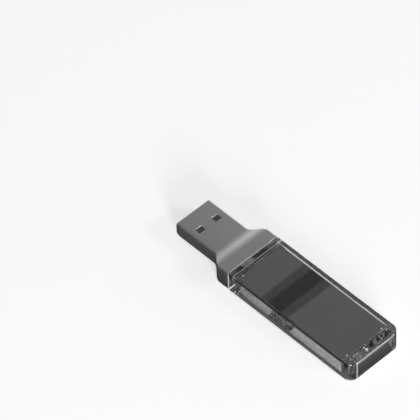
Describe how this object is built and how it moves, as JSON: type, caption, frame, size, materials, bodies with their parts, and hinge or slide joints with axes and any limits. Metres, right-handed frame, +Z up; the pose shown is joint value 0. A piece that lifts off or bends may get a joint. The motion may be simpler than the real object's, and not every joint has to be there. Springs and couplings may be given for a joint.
{
  "type": "usb microcontroller programmer",
  "caption": "USB stick programmer: clear rectangular sleeve with a lanyard slot round a dark lit core, and a one-piece satin metal nose that flares from a standard-A plug.",
  "frame": {"origin": "centre of the bottom of the whole object's box, on the surface that the sleeve rests on", "axes": "+X along the stick from the plug's tip to the sleeve's rear end, +Y across it, +Z up"},
  "size_m": [0.067, 0.018, 0.0062],
  "materials": {
    "clear_sleeve": "polished clear acrylic with a faint smoke tint",
    "nose_metal": "satin, fine bead-blasted grain",
    "black_insert": "black moulded",
    "latch_steel": "spring steel strip",
    "plug_insulator": "black glass-filled nylon",
    "contact_gold": "gold plated copper alloy",
    "board_laminate": "black solder mask on fibreglass laminate",
    "core_tray": "dark grey moulded",
    "smoke_panel": "smoke-grey film with a darker cross band",
    "frosted_guide": "frosted light-guide acrylic",
    "led_lens": "white LED package with a phosphor lens",
    "chip_epoxy": "black moulded epoxy",
    "crystal_can": "drawn nickel-plated can",
    "fuse_body": "green coated chip",
    "capacitor_body": "fired ceramic with tinned ends",
    "resistor_body": "black glazed ceramic chip with tinned ends"
  },
  "bodies": {
    "root": {"clear_sleeve": "clear_sleeve", "nose_shell": "nose_metal", "nose_collar": "black_insert", "latch_spring": "latch_steel", "plug_tongue": "plug_insulator", "contact_vbus": "contact_gold", "contact_data_minus": "contact_gold", "contact_data_plus": "contact_gold", "contact_ground": "contact_gold", "circuit_board": "board_laminate", "core_tray": "core_tray", "top_panel": "smoke_panel", "bottom_panel": "smoke_panel", "light_guide_front_left": "frosted_guide", "light_guide_front_right": "frosted_guide", "light_guide_rear_left": "frosted_guide", "light_guide_rear_right": "frosted_guide", "led_front_left": "led_lens", "led_front_right": "led_lens", "led_rear_left": "led_lens", "led_rear_right": "led_lens", "controller_chip": "chip_epoxy", "memory_chip": "chip_epoxy", "voltage_regulator": "chip_epoxy", "crystal_can": "crystal_can", "resettable_fuse": "fuse_body", "capacitor_1": "capacitor_body", "capacitor_2": "capacitor_body", "capacitor_3": "capacitor_body", "capacitor_4": "capacitor_body", "resistor_1": "resistor_body", "resistor_2": "resistor_body", "resistor_3": "resistor_body", "resistor_4": "resistor_body"}
  },
  "joints": []
}
